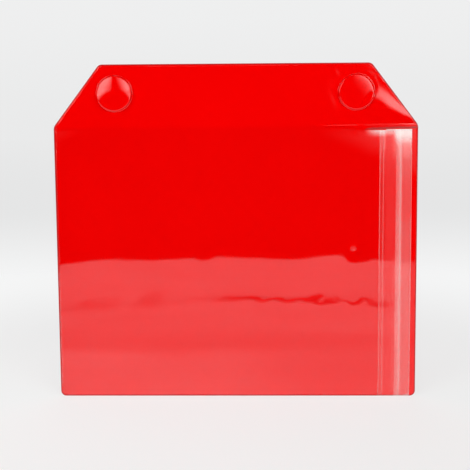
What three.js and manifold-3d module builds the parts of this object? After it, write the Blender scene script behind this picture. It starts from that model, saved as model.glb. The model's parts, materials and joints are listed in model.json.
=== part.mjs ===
// Magnetic display pocket, landscape: a red foil head with two magnets in it, and under it a flat pocket
// with a clear window, closed along its right side by a press-to-close zip.
// Units are millimetres: +X is to the right, +Z up, and the front faces -Y.
// The origin is on the back face of the head, midway between the magnets.
import * as THREE from "three";
import { mergeVertices } from "three/addons/utils/BufferGeometryUtils.js";
import Module from "manifold-3d";

const wasm = await Module();
wasm.setup();

// Outline of the red sheet
const POCKET_WIDTH = 330;
const POCKET_HEIGHT = 251;
const HEAD_HEIGHT = 56;
const HEAD_SIDE_RUN = 42.5;
const TOP_CORNER_RADIUS = 6;
const SHOULDER_RADIUS = 8;
const BOTTOM_CORNER_RADIUS = 5;

// Foils
const BACK_FOIL = 0.5;
const COVER_FOIL = 0.5;
const WINDOW_FOIL = 0.4;
const TAPE_FOIL = 0.4;
const WELD_WIDTH = 3;

// Crease between the head and the pocket, pressed to a thin line that bends
const CREASE_GAP = 0.3;
const CREASE_SLOPE = 1;

// Magnets, placed in from the head's top corners, and the domes that the cover makes over them
const MAGNET_DIAMETER = 30;
const MAGNET_THICKNESS = 4;
const MAGNET_INSET = 13.5;
const MAGNET_ABOVE_CREASE = 30;
const MAGNET_CLEARANCE = 0.3;
const DOME_SHOULDER = 1.4;
const DOME_DRAFT = 1;

// Room inside the pocket: the window rises from its welds to a flat middle
const POCKET_DEPTH = 4.4;
const LEFT_RISE = 8;
const END_RISE = 15;

// Front zip tape, counted in from the right edge of the red sheet
const LIP_WIDTH = 5;
const FRONT_TAPE_WIDTH = 29;
const SEAM_STRIP_WIDTH = 6;
const WINDOW_UNDERLAP = 4.2;
const FLAP_GAP = 0.3;
const FLAP_SEAT_CLEARANCE = 0.3;

// Press-to-close profile: jaws on the front tape close over a rib on the back tape
const ZIP_FROM_TAPE_EDGE = 11;
const BAND_THICKNESS = 0.4;
const BAND_CHAMFER = 0.3;
const JAW_BAND_WIDTH = 7;
const JAW_HEIGHT = 2.2;
const JAW_THICKNESS = 0.95;
const JAW_LIP = 0.15;
const JAW_LIP_HEIGHT = 0.5;
const GROOVE_WIDTH = 2.3;
const BACK_TAPE_WIDTH = 17.5;
const BACK_TAPE_EDGE = 4;
const RIB_BAND_WIDTH = 6;
const RIB_STEM_WIDTH = 0.9;
const RIB_HEAD_HEIGHT = 1;
const RIB_BARB_HEIGHT = 0.25;
const RIB_TIP_WIDTH = 0.65;
const RIB_SIDE_CLEARANCE = 0.35;
const RIB_TIP_CLEARANCE = 0.4;

// Fineness of the faceted curves, and how near two corners are one
const CORNER_SEGMENTS = 6;
const DOME_SEGMENTS = 48;
const RISE_STEPS = 6;
const SAME_CORNER = 1e-4;

// Places that follow from the sizes
const creaseZ = -MAGNET_ABOVE_CREASE;
const topZ = creaseZ + HEAD_HEIGHT;
const bottomZ = creaseZ - POCKET_HEIGHT;
const rightEdge = POCKET_WIDTH / 2;
const leftEdge = -rightEdge;
const headTopHalf = rightEdge - HEAD_SIDE_RUN;
const magnetX = headTopHalf - MAGNET_INSET;
const tapeEdge = rightEdge - LIP_WIDTH;
const seamX = tapeEdge - FRONT_TAPE_WIDTH;
const flapHingeX = seamX + SEAM_STRIP_WIDTH;
const zipX = tapeEdge - ZIP_FROM_TAPE_EDGE;
const backTapeRight = rightEdge - BACK_TAPE_EDGE;
const backTapeLeft = backTapeRight - BACK_TAPE_WIDTH;
const tapeTop = creaseZ - WELD_WIDTH;
const tapeBottom = bottomZ + WELD_WIDTH;
const backFront = -BACK_FOIL;
const coverFront = backFront - COVER_FOIL;
const creaseY = -(BACK_FOIL + WINDOW_FOIL) / 2;
const tapeInnerY = backFront - POCKET_DEPTH - WINDOW_FOIL;
const FAR = 4 * (POCKET_WIDTH + POCKET_HEIGHT);

const materials = {
  redFoil: new THREE.MeshStandardMaterial({ color: 0xe60a0a, roughness: 0.15, metalness: 0 }),
  clearFoil: new THREE.MeshStandardMaterial({
    color: 0xf4f7f8,
    roughness: 0.05,
    metalness: 0,
    transparent: true,
    opacity: 0.2,
  }),
  milkyTape: new THREE.MeshStandardMaterial({
    color: 0xf0dada,
    roughness: 0.35,
    metalness: 0,
    transparent: true,
    opacity: 0.5,
  }),
  ferrite: new THREE.MeshStandardMaterial({ color: 0x3a3a3c, roughness: 0.6, metalness: 0.2 }),
};

// Joining and cutting

function toSolid(geometry) {
  const bare = geometry.clone();
  bare.deleteAttribute("normal");
  bare.deleteAttribute("uv");
  const merged = mergeVertices(bare, SAME_CORNER);
  return new wasm.Manifold(
    new wasm.Mesh({
      numProp: 3,
      vertProperties: new Float32Array(merged.attributes.position.array),
      triVerts: new Uint32Array(merged.index.array),
    }),
  );
}

function toGeometry(solid) {
  const mesh = solid.getMesh();
  const geometry = new THREE.BufferGeometry();
  geometry.setAttribute("position", new THREE.BufferAttribute(new Float32Array(mesh.vertProperties), 3));
  geometry.setIndex(new THREE.BufferAttribute(new Uint32Array(mesh.triVerts), 1));
  const faceted = geometry.toNonIndexed();
  faceted.computeVertexNormals();
  return faceted;
}

// Shapes

// A closed outline whose corners [x, y, radius] are rounded by arcs.
function roundedShape(corners) {
  const shape = new THREE.Shape();
  corners.forEach(([x, y, radius], i) => {
    const corner = new THREE.Vector2(x, y);
    const [px, py] = corners[(i + corners.length - 1) % corners.length];
    const [nx, ny] = corners[(i + 1) % corners.length];
    const toPrevious = new THREE.Vector2(px, py).sub(corner).normalize();
    const toNext = new THREE.Vector2(nx, ny).sub(corner).normalize();
    const halfAngle = Math.acos(toPrevious.dot(toNext)) / 2;
    const reach = radius / Math.tan(halfAngle);
    const start = corner.clone().addScaledVector(toPrevious, reach);
    const bisector = toPrevious.clone().add(toNext).normalize();
    const centre = corner.clone().addScaledVector(bisector, radius / Math.sin(halfAngle));
    const end = corner.clone().addScaledVector(toNext, reach);
    const startAngle = start.clone().sub(centre).angle();
    const endAngle = end.clone().sub(centre).angle();
    if (i === 0) shape.moveTo(start.x, start.y);
    else shape.lineTo(start.x, start.y);
    shape.absarc(centre.x, centre.y, radius, startAngle, endAngle, false);
  });
  return shape;
}

function polygon(points) {
  return new THREE.Shape(points.map(([x, y]) => new THREE.Vector2(x, y)));
}

// An outline drawn in X and Z, given a thickness from backY forward to frontY.
function plate(shape, backY, frontY) {
  const geometry = new THREE.ExtrudeGeometry(shape, {
    depth: backY - frontY,
    bevelEnabled: false,
    curveSegments: CORNER_SEGMENTS,
  });
  geometry.applyMatrix4(new THREE.Matrix4().set(1, 0, 0, 0, 0, 0, -1, backY, 0, 1, 0, 0, 0, 0, 0, 1));
  return toSolid(geometry);
}

// A section drawn in X and Y, run upwards from lowZ to highZ.
function upright(shape, lowZ, highZ) {
  const geometry = new THREE.ExtrudeGeometry(shape, { depth: highZ - lowZ, bevelEnabled: false });
  geometry.translate(0, 0, lowZ);
  return toSolid(geometry);
}

// A section drawn in Y and Z, run all the way across along X.
function across(shape) {
  const geometry = new THREE.ExtrudeGeometry(shape, { depth: 2 * FAR, bevelEnabled: false });
  geometry.applyMatrix4(new THREE.Matrix4().set(0, 0, 1, -FAR, 1, 0, 0, 0, 0, 1, 0, 0, 0, 0, 0, 1));
  return toSolid(geometry);
}

// A round solid about an axis that points forward at (x, 0, 0), from a profile of [radius, y] points.
function turned(profile, x) {
  const points = profile.map(([radius, y]) => new THREE.Vector2(radius, y));
  const geometry = new THREE.LatheGeometry(points, DOME_SEGMENTS);
  geometry.translate(x, 0, 0);
  return toSolid(geometry);
}

// A thin curved sheet over a grid in X and Z, between two surfaces that each give y at (x, z).
function curvedSheet(xs, zs, backSurface, frontSurface) {
  const positions = [];
  const index = [];
  for (const surface of [frontSurface, backSurface])
    for (const x of xs) for (const z of zs) positions.push(x, surface(x, z), z);
  const front = (i, j) => i * zs.length + j;
  const back = (i, j) => xs.length * zs.length + front(i, j);
  const lastX = xs.length - 1;
  const lastZ = zs.length - 1;
  for (let i = 0; i < lastX; i++)
    for (let j = 0; j < lastZ; j++) {
      index.push(front(i, j), front(i + 1, j), front(i + 1, j + 1));
      index.push(front(i, j), front(i + 1, j + 1), front(i, j + 1));
      index.push(back(i, j), back(i + 1, j + 1), back(i + 1, j));
      index.push(back(i, j), back(i, j + 1), back(i + 1, j + 1));
    }
  const rim = [];
  for (let i = 0; i < lastX; i++) rim.push([i, 0]);
  for (let j = 0; j < lastZ; j++) rim.push([lastX, j]);
  for (let i = lastX; i > 0; i--) rim.push([i, lastZ]);
  for (let j = lastZ; j > 0; j--) rim.push([0, j]);
  rim.forEach(([i, j], n) => {
    const [k, l] = rim[(n + 1) % rim.length];
    index.push(front(i, j), back(i, j), back(k, l));
    index.push(front(i, j), back(k, l), front(k, l));
  });
  const geometry = new THREE.BufferGeometry();
  geometry.setAttribute("position", new THREE.Float32BufferAttribute(positions, 3));
  geometry.setIndex(index);
  return toSolid(geometry);
}

const smooth = (share) => {
  const t = THREE.MathUtils.clamp(share, 0, 1);
  return t * t * (3 - 2 * t);
};

// Evenly spaced values from one to the other, both included.
const steps = (from, to, count) =>
  Array.from({ length: count + 1 }, (_, i) => THREE.MathUtils.lerp(from, to, i / count));

// Room between the back sheet and the window, from nothing at the welds to the full depth.
function roomAt(x, z) {
  const fromLeft = smooth((x - leftEdge - WELD_WIDTH) / LEFT_RISE);
  const fromTop = smooth((tapeTop - z) / END_RISE);
  const fromBottom = smooth((z - tapeBottom) / END_RISE);
  return POCKET_DEPTH * fromLeft * fromTop * fromBottom;
}

const windowBack = (x, z) => backFront - roomAt(x, z);
const windowFront = (x, z) => windowBack(x, z) - WINDOW_FOIL;
const tapeFront = (x, z) => windowFront(x, z) - TAPE_FOIL;

// Heights of the grid lines through the two rises at the ends.
const risingZ = [
  ...steps(tapeBottom, tapeBottom + END_RISE, RISE_STEPS),
  ...steps(tapeTop - END_RISE, tapeTop, RISE_STEPS),
];

const outline = roundedShape([
  [leftEdge, bottomZ, BOTTOM_CORNER_RADIUS],
  [rightEdge, bottomZ, BOTTOM_CORNER_RADIUS],
  [rightEdge, creaseZ, SHOULDER_RADIUS],
  [headTopHalf, topZ, TOP_CORNER_RADIUS],
  [-headTopHalf, topZ, TOP_CORNER_RADIUS],
  [leftEdge, creaseZ, SHOULDER_RADIUS],
]);

// What lies on one side of the crease (side 1 is the head's, -1 the pocket's), where both sides slope
// away from the bend line so that they can fold about it.
function creaseSide(side) {
  const near = creaseZ + (side * CREASE_GAP) / 2;
  const far = near + side * CREASE_SLOPE * FAR;
  const points = [
    [creaseY - FAR, far],
    [creaseY, near],
    [creaseY + FAR, far],
    [creaseY + FAR, far + side * FAR],
    [creaseY - FAR, far + side * FAR],
  ];
  return across(polygon(points));
}

const headSide = creaseSide(1);
const pocketSide = creaseSide(-1);

// Pieces of the head

function headBackSheet() {
  return plate(outline, 0, backFront).intersect(headSide);
}

function domeShell(x) {
  const cavityRadius = MAGNET_DIAMETER / 2 + MAGNET_CLEARANCE;
  const ceilingY = backFront - MAGNET_THICKNESS - MAGNET_CLEARANCE;
  const crownY = ceilingY - COVER_FOIL;
  const crownRadius = cavityRadius + COVER_FOIL;
  const footRadius = crownRadius + DOME_DRAFT;
  const shoulder = steps(0, Math.PI / 2, CORNER_SEGMENTS).map((angle) => [
    crownRadius - DOME_SHOULDER * (1 - Math.cos(angle)),
    crownY + DOME_SHOULDER * (1 - Math.sin(angle)),
  ]);
  const outer = [[0, backFront], [footRadius, backFront], [footRadius, coverFront], ...shoulder, [0, crownY]];
  const cavity = [[0, 0], [cavityRadius, 0], [cavityRadius, ceilingY], [0, ceilingY]];
  return { outer: turned(outer.reverse(), x), cavity: turned(cavity.reverse(), x) };
}

function headCoverSheet() {
  let cover = plate(outline, backFront, coverFront).intersect(headSide);
  for (const x of [-magnetX, magnetX]) {
    const { outer, cavity } = domeShell(x);
    cover = cover.add(outer).subtract(cavity);
  }
  return cover;
}

function magnet(x) {
  const radius = MAGNET_DIAMETER / 2;
  const frontY = backFront - MAGNET_THICKNESS;
  return turned([[0, frontY], [radius, frontY], [radius, backFront], [0, backFront]], x);
}

// Pieces of the pocket

function pocketBackSheet() {
  return plate(outline, 0, backFront).intersect(pocketSide);
}

function windowSheet() {
  const right = seamX + WINDOW_UNDERLAP;
  const xs = [leftEdge, ...steps(leftEdge + WELD_WIDTH, leftEdge + WELD_WIDTH + LEFT_RISE, RISE_STEPS), right];
  const zs = [bottomZ, ...risingZ, creaseZ];
  const sheet = curvedSheet(xs, zs, windowBack, windowFront);
  const trim = plate(outline, backFront, backFront - FAR);
  return sheet.intersect(trim).intersect(pocketSide);
}

// The edge of the front zip tape that is welded over the window.
function zipSeamStrip() {
  const xs = [seamX, seamX + WINDOW_UNDERLAP, flapHingeX - FLAP_GAP / 2];
  return curvedSheet(xs, risingZ, windowFront, tapeFront);
}

// A welded base band with chamfered edges, as half of a section: [from centre, height] points.
const halfBand = (width) => [
  [width / 2, -TAPE_FOIL / 2],
  [width / 2, BAND_THICKNESS - BAND_CHAMFER],
  [width / 2 - BAND_CHAMFER, BAND_THICKNESS],
];

// A symmetric section about the zip's middle, standing on a face at footY towards the side given.
function zipSection(half, footY, side) {
  const points = [...half, ...half.map(([u, h]) => [-u, h]).reverse()];
  return polygon(points.map(([u, h]) => [zipX + u, footY + side * h]));
}

const levelTop = tapeTop - END_RISE;
const levelBottom = tapeBottom + END_RISE;

function zipRibTape() {
  const baseFrontY = backFront - TAPE_FOIL;
  const grooveFloorY = tapeInnerY + BAND_THICKNESS;
  const ribHeight = baseFrontY - grooveFloorY - RIB_TIP_CLEARANCE;
  const mouthHalf = GROOVE_WIDTH / 2 - JAW_LIP;
  const headHalf = mouthHalf - RIB_SIDE_CLEARANCE;
  const stemHalf = RIB_STEM_WIDTH / 2;
  const neck = ribHeight - RIB_HEAD_HEIGHT;
  const rib = [
    ...halfBand(RIB_BAND_WIDTH),
    [stemHalf, BAND_THICKNESS],
    [stemHalf, neck],
    [headHalf, neck + RIB_BARB_HEIGHT],
    [headHalf, neck + 2 * RIB_BARB_HEIGHT],
    [RIB_TIP_WIDTH / 2, ribHeight],
  ];
  const base = polygon([
    [backTapeLeft, backFront],
    [backTapeLeft, baseFrontY],
    [backTapeRight, baseFrontY],
    [backTapeRight, backFront],
  ]);
  return upright(base, tapeBottom, tapeTop).add(
    upright(zipSection(rib, baseFrontY, -1), levelBottom, levelTop),
  );
}

// Piece of the mouth flap: the free part of the front zip tape with its jaws.
function zipGrooveTape() {
  const endLift = (z) => Math.min(1, (windowFront(zipX, z) - tapeInnerY) / POCKET_DEPTH);
  const lifted = (surface) => (x, z) => surface(x, z) - FLAP_SEAT_CLEARANCE * endLift(z);
  const xs = [flapHingeX + FLAP_GAP / 2, tapeEdge];
  const ribbon = curvedSheet(xs, risingZ, lifted(windowFront), lifted(tapeFront));
  const grooveHalf = GROOVE_WIDTH / 2;
  const lipHalf = grooveHalf - JAW_LIP;
  const jaws = [
    ...halfBand(JAW_BAND_WIDTH),
    [grooveHalf + JAW_THICKNESS, BAND_THICKNESS],
    [grooveHalf + JAW_THICKNESS, JAW_HEIGHT - BAND_CHAMFER],
    [grooveHalf + JAW_THICKNESS - BAND_CHAMFER, JAW_HEIGHT],
    [lipHalf, JAW_HEIGHT],
    [lipHalf, JAW_HEIGHT - JAW_LIP_HEIGHT],
    [grooveHalf, JAW_HEIGHT - JAW_LIP_HEIGHT - JAW_LIP],
    [grooveHalf, BAND_THICKNESS],
  ];
  return ribbon.add(upright(zipSection(jaws, tapeInnerY, 1), levelBottom, levelTop));
}

// Assembly

function node(name, solid, material) {
  const mesh = new THREE.Mesh(toGeometry(solid), material);
  mesh.name = name;
  return mesh;
}

function group(name, ...members) {
  const made = new THREE.Group();
  made.name = name;
  made.add(...members);
  return made;
}

const head = group(
  "head",
  node("head_back_sheet", headBackSheet(), materials.redFoil),
  node("head_cover_sheet", headCoverSheet(), materials.redFoil),
  node("magnet_left", magnet(-magnetX), materials.ferrite),
  node("magnet_right", magnet(magnetX), materials.ferrite),
);

const mouthFlap = group("mouth_flap", node("zip_groove_tape", zipGrooveTape(), materials.milkyTape));

const pocket = group(
  "pocket",
  node("pocket_back_sheet", pocketBackSheet(), materials.redFoil),
  node("window_sheet", windowSheet(), materials.clearFoil),
  node("zip_seam_strip", zipSeamStrip(), materials.milkyTape),
  node("zip_rib_tape", zipRibTape(), materials.milkyTape),
  mouthFlap,
);

export default group("magnetic_display_pocket", head, pocket);
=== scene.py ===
"""Magnetic display pocket: the dressed model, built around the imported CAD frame.

Lengths in the modelling code are millimetres in the CAD frame: x to the right, z up,
and y out of the back, so a front face has a negative y. "Height" is how far a face
stands in front of the back face at y = 0.
"""

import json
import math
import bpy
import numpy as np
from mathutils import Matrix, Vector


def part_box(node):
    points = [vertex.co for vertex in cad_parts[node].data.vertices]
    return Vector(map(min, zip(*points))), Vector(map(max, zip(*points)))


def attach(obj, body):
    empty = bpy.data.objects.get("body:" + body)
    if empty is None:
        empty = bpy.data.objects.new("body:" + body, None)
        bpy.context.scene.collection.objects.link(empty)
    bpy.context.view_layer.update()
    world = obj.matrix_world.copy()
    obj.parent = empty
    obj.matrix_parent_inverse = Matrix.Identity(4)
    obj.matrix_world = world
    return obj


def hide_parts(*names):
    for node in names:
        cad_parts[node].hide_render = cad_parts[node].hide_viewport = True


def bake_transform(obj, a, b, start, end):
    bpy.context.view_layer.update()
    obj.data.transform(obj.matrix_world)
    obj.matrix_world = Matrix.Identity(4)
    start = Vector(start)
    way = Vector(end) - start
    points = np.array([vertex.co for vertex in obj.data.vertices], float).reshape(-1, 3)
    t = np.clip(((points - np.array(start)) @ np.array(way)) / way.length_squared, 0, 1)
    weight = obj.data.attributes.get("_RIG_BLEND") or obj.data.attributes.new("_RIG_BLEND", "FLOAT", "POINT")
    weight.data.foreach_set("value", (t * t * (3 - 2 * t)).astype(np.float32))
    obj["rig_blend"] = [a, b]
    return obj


bl_info = {
    "name": "Magnetic display pocket",
    "version": (1, 0, 0),
    "blender": (4, 5, 0),
    "location": "3D View > Sidebar > Pocket",
    "description": "Foil sheets, magnets, window and zip of a display pocket",
    "category": "Object",
}

import bmesh
import bpy
from mathutils import Matrix, Vector

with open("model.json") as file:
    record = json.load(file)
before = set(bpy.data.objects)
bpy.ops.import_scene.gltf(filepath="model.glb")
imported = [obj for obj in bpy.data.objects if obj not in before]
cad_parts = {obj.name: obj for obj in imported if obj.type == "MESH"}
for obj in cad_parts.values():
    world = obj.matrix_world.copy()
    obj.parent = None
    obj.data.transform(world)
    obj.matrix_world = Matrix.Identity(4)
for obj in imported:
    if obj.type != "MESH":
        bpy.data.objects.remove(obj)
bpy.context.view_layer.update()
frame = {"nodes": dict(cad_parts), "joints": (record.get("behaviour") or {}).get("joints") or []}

MM = 0.001


def box_mm(node):
    """Lowest and highest corner of a CAD node, in mm."""
    return [[c / MM for c in corner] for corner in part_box(node)]


def joint_place(name):
    """A joint's place at rest, in mm."""
    joint = next(j for j in frame["joints"] if j["name"] == name)
    return [c / MM for c in joint["pos_m"]]


POCKET_LOW, POCKET_HIGH = box_mm("pocket_back_sheet")
HEAD_LOW, HEAD_HIGH = box_mm("head_back_sheet")
SIDE = POCKET_HIGH[0]
BOTTOM = POCKET_LOW[2]
TOP = HEAD_HIGH[2]
BACK_FOIL = -POCKET_LOW[1]
CREASE = joint_place("pocket_fold")[2]
FLAP_HINGE = joint_place("mouth_open")[0]
MAGNETS = [
    (low[0] + high[0]) / 2 for low, high in map(box_mm, ("magnet_left", "magnet_right"))
]
WINDOW_RIGHT = box_mm("window_sheet")[1][0]
STRIP_LEFT = box_mm("zip_seam_strip")[0][0]
TAPE_RIGHT = box_mm("zip_groove_tape")[1][0]
RIB_LOW, RIB_HIGH = box_mm("zip_rib_tape")

HEAD_SIDE_RUN = 42.5
BOTTOM_RADIUS, SHOULDER_RADIUS, TOP_RADIUS = 5, 8, 6
# The outline's corners: (x, z, radius).
CORNERS = (
    (-SIDE, BOTTOM, BOTTOM_RADIUS),
    (SIDE, BOTTOM, BOTTOM_RADIUS),
    (SIDE, CREASE, SHOULDER_RADIUS),
    (SIDE - HEAD_SIDE_RUN, TOP, TOP_RADIUS),
    (-SIDE + HEAD_SIDE_RUN, TOP, TOP_RADIUS),
    (-SIDE, CREASE, SHOULDER_RADIUS),
)

# The soft sheets turn over this stretch above and below the crease.
BEND_HALF = 1.2
COVER_END = CREASE - 1
WINDOW_TOP = CREASE - 1.03
# Right of REACH_FROM the cover reaches further down over the pocket, and right of
# REACH_LESS_FROM a little less far again.
REACH_FROM, REACH_RUN, REACH_BY = 104, 8, 3.4
REACH_LESS_FROM, REACH_LESS_RUN, REACH_LESS_BY = 135.5, 4, 1

# Right of CURL_FROM the sheets curl to the back. The curl grows over CURL_GROW above
# CURL_FOOT, and fades over CURL_FADE above the crease.
CURL_FROM, CURL_RUN, CURL_DEPTH = 141, 24, 0.9
CURL_FOOT, CURL_GROW, CURL_FADE = -150, 100, 45

# The clear window lies on the back sheet at its welds and stands off it in between.
WELD = 3
STAND_OFF = 4.4
RISE_LEFT, RISE_LEFT_RUN = -164.3, 2
RISE_TOP, RISE_TOP_RUN = CREASE - WELD, 28
RISE_BOTTOM, RISE_RUN = BOTTOM + WELD, 15

# The zip of the photo lies flatter than the CAD's, so it shows a little further left.
ZIP_SHIFT = -0.9
# The middle of the zip's rib, and how far from its fixed ends the mouth is fully open.
RIB_X = 149
MOUTH_RUN = 75


def length(name, description, default):
    """A setting in metres."""
    return bpy.props.FloatProperty(
        name=name, description=description, default=default, unit="LENGTH", min=0, precision=6
    )


def tint(name, description, default):
    """A setting that is a colour."""
    return bpy.props.FloatVectorProperty(
        name=name, description=description, default=default, subtype="COLOR",
        size=3, min=0, max=1,
    )


def brightness(name, description, default):
    """A setting for the strength of a light."""
    return bpy.props.FloatProperty(name=name, description=description, default=default, min=0)


class PocketFoils(bpy.types.PropertyGroup):
    """Sizes and colours of the foils."""

    red: tint("Red", "Colour of the red foil", (0.9, 0.0002, 0.0003))
    cover_foil: length("Cover foil", "Thickness of the head's cover", 0.0005)
    window_foil: length("Window foil", "Thickness of the clear window", 0.0004)
    puff: length("Puff", "How far the head's cover stands off its welds", 0.00025)
    bead: length("Weld bead", "Height of the bead beside a weld", 0.00018)
    ripple: length("Window ripple", "Height of the window's slow waves", 0.000025)


class PocketZip(bpy.types.PropertyGroup):
    """Sizes and colours of the zip tapes."""

    milk: tint("Milky colour", "Colour of the tapes' milky plastic", (0.93, 0.86, 0.85))
    tape_foil: length("Tape thickness", "Thickness of the zip tapes", 0.0004)
    jaw_depth: length("Jaw depth", "How far the groove's jaws reach back", 0.0022)
    ridge: length("Ridge height", "Height of the ridges on the zip's front", 0.00045)


class PocketMagnets(bpy.types.PropertyGroup):
    """Colour of the magnets."""

    ferrite: tint("Ferrite", "Colour of the magnets", (0.05, 0.05, 0.055))


class PocketStage(bpy.types.PropertyGroup):
    """Floor and lamps."""

    table_reach: length("Table reach", "How far the white table reaches", 0.81)
    lamp: brightness("Side lamps", "Brightness of the two side softboxes", 5)
    top_lamp: brightness("Top lamp", "Brightness of the overhead softbox", 2.2)
    rear_lamp: brightness("Rear lamp", "Brightness of the softbox behind", 1.9)
    fill: brightness("Fill", "Brightness of the room", 0.3)


# Materials


class Wire:
    """A shader socket. Sums and products of wires add Math nodes."""

    def __init__(self, finish, socket):
        self.finish = finish
        self.socket = socket

    def _maths(self, operation, first, second, **settings):
        settings["operation"] = operation
        return self.finish.node("Math", settings, {0: first, 1: second})

    def __add__(self, other):
        return self._maths("ADD", self, other)

    def __sub__(self, other):
        return self._maths("SUBTRACT", self, other)

    def __rsub__(self, other):
        return self._maths("SUBTRACT", other, self)

    def __mul__(self, other):
        return self._maths("MULTIPLY", self, other)

    def __pow__(self, other):
        return self._maths("POWER", self, other)

    __radd__ = __add__
    __rmul__ = __mul__

    def larger(self, other):
        """The larger of the two."""
        return self._maths("MAXIMUM", self, other)

    def clamped(self):
        """The value held between 0 and 1."""
        return self._maths("ADD", self, 0, use_clamp=True)


class Finish:
    """A node tree under construction."""

    def __init__(self, tree):
        self.tree = tree
        tree.nodes.clear()

    def node(self, kind, settings=None, sockets=None, out=0):
        """Adds a node with its settings and its sockets' values or links, and gives one
        of its outputs."""
        made = self.tree.nodes.new("ShaderNode" + kind)
        for name, value in (settings or {}).items():
            setattr(made, name, value)
        for key, value in (sockets or {}).items():
            if isinstance(value, Wire):
                self.tree.links.new(value.socket, made.inputs[key])
            else:
                made.inputs[key].default_value = value
        return Wire(self, made.outputs[out]) if len(made.outputs) else None

    def rest(self):
        """Where a point of a new piece is at rest, in metres."""
        return self.node("Attribute", {"attribute_name": "rest"}, out="Vector")

    def split(self, vector):
        """The x, y and z of a vector."""
        first = self.node("SeparateXYZ", None, {0: vector})
        return [Wire(self, output) for output in first.socket.node.outputs]

    def edge_gap(self):
        """How far a point is from its sheet's cut edge, in mm."""
        return self.node("Attribute", {"attribute_name": "edge_gap"}, out="Fac")

    def stretched(self, vector, scale):
        """The vector with each axis scaled."""
        return self.node("Mapping", None, {"Vector": vector, "Scale": scale})

    def noise(self, vector, scale, detail, roughness=0.5):
        """Clouds between about 0.2 and 0.8."""
        return self.node(
            "TexNoise",
            None,
            {"Vector": vector, "Scale": scale, "Detail": detail, "Roughness": roughness},
        )

    def ease(self, value, start, end):
        """0 before start and 1 after end, with a smooth step in between."""
        return self.node(
            "MapRange",
            {"interpolation_type": "SMOOTHSTEP"},
            {"Value": value, "From Min": start, "From Max": end},
        )

    def band(self, value, low, high, soft):
        """1 between low and high, and 0 outside, with borders that are so soft."""
        return self.ease(value, low - soft / 2, low + soft / 2) * self.ease(
            value, high + soft / 2, high - soft / 2
        )

    def colour(self, factor, first, second):
        """A mix of two colours."""
        return self.node(
            "Mix", {"data_type": "RGBA"}, {0: factor, 6: first, 7: second}, out=2
        )

    def mixed(self, factor, first, second):
        """A mix of two shaders."""
        return self.node("MixShader", None, {0: factor, 1: first, 2: second})

    def bump(self, height, distance, strength, over=None):
        """A normal from a height between 0 and 1, over a distance in metres. It may lie
        over another normal."""
        sockets = {"Height": height, "Distance": distance, "Strength": strength}
        if over:
            sockets["Normal"] = over
        return self.node("Bump", None, sockets)

    def principled(self, sockets):
        """A Principled shader."""
        return self.node("BsdfPrincipled", None, sockets)

    def emission(self, strength, colour=(1, 1, 1, 1)):
        """A shader that glows."""
        return self.node("Emission", None, {"Color": colour, "Strength": strength})

    def see_through(self, colour):
        """A shader that lets this colour through."""
        return self.node("BsdfTransparent", None, {"Color": colour})

    def ray(self, kind):
        """1 for rays of a kind, such as Camera."""
        return self.node("LightPath", out=f"Is {kind} Ray")

    def surface(self, shader):
        """Ends the tree with this shader."""
        self.node("OutputMaterial", None, {"Surface": shader})


def new_finish(name):
    """A material by that name, and its empty tree."""
    material = bpy.data.materials.new(name)
    material.use_nodes = True
    return material, Finish(material.node_tree)


def rgba(colour, share=1):
    """A colour with its alpha, made darker or lighter by a share."""
    return tuple(c * share for c in colour) + (1,)


# Where a sheet's cut edge begins to show and where it shows fully, in mm from the edge.
# On the red foil the cut edge is painted darker, as the shade of an edge that turns away from the lamps.
RED_EDGE_SHADE = (1.5, 0.6)
CLEAR_EDGE = (1.7, 1)
TAPE_EDGE = (0.5, 0.1)


def red_foil(name, foils):
    """Glossy calendered foil: slow clouds, a faint grain, and painted shade that darkens the cut edges."""
    material, f = new_finish(name)
    rest = f.rest()
    clouds = f.noise(rest, scale=14, detail=3)
    grain = f.noise(f.stretched(rest, (1, 1, 0.35)), scale=900, detail=3, roughness=0.6)
    scuffs = f.noise(f.stretched(rest, (0.25, 1, 1.6)), scale=260, detail=4, roughness=0.6)
    body = f.colour(clouds, rgba(foils.red, share=0.965), rgba(foils.red, share=1.03))
    # Painted shade: the colour darkens towards the cut edge, which is also made rough.
    edge = f.ease(f.edge_gap(), *RED_EDGE_SHADE)
    shine = 0.02 + 0.02 * clouds + 0.02 * f.ease(scuffs, 0.6, 0.75) + 0.3 * edge
    relief = f.bump(clouds, distance=0.0001, strength=0.25)
    f.surface(f.principled({
        "Base Color": f.colour(edge, body, rgba(foils.red, share=0.55)),
        "Roughness": shine,
        "IOR": 1.5,
        "Normal": f.bump(grain, distance=0.0000015, strength=0.35, over=relief),
    }))
    return material


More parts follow.
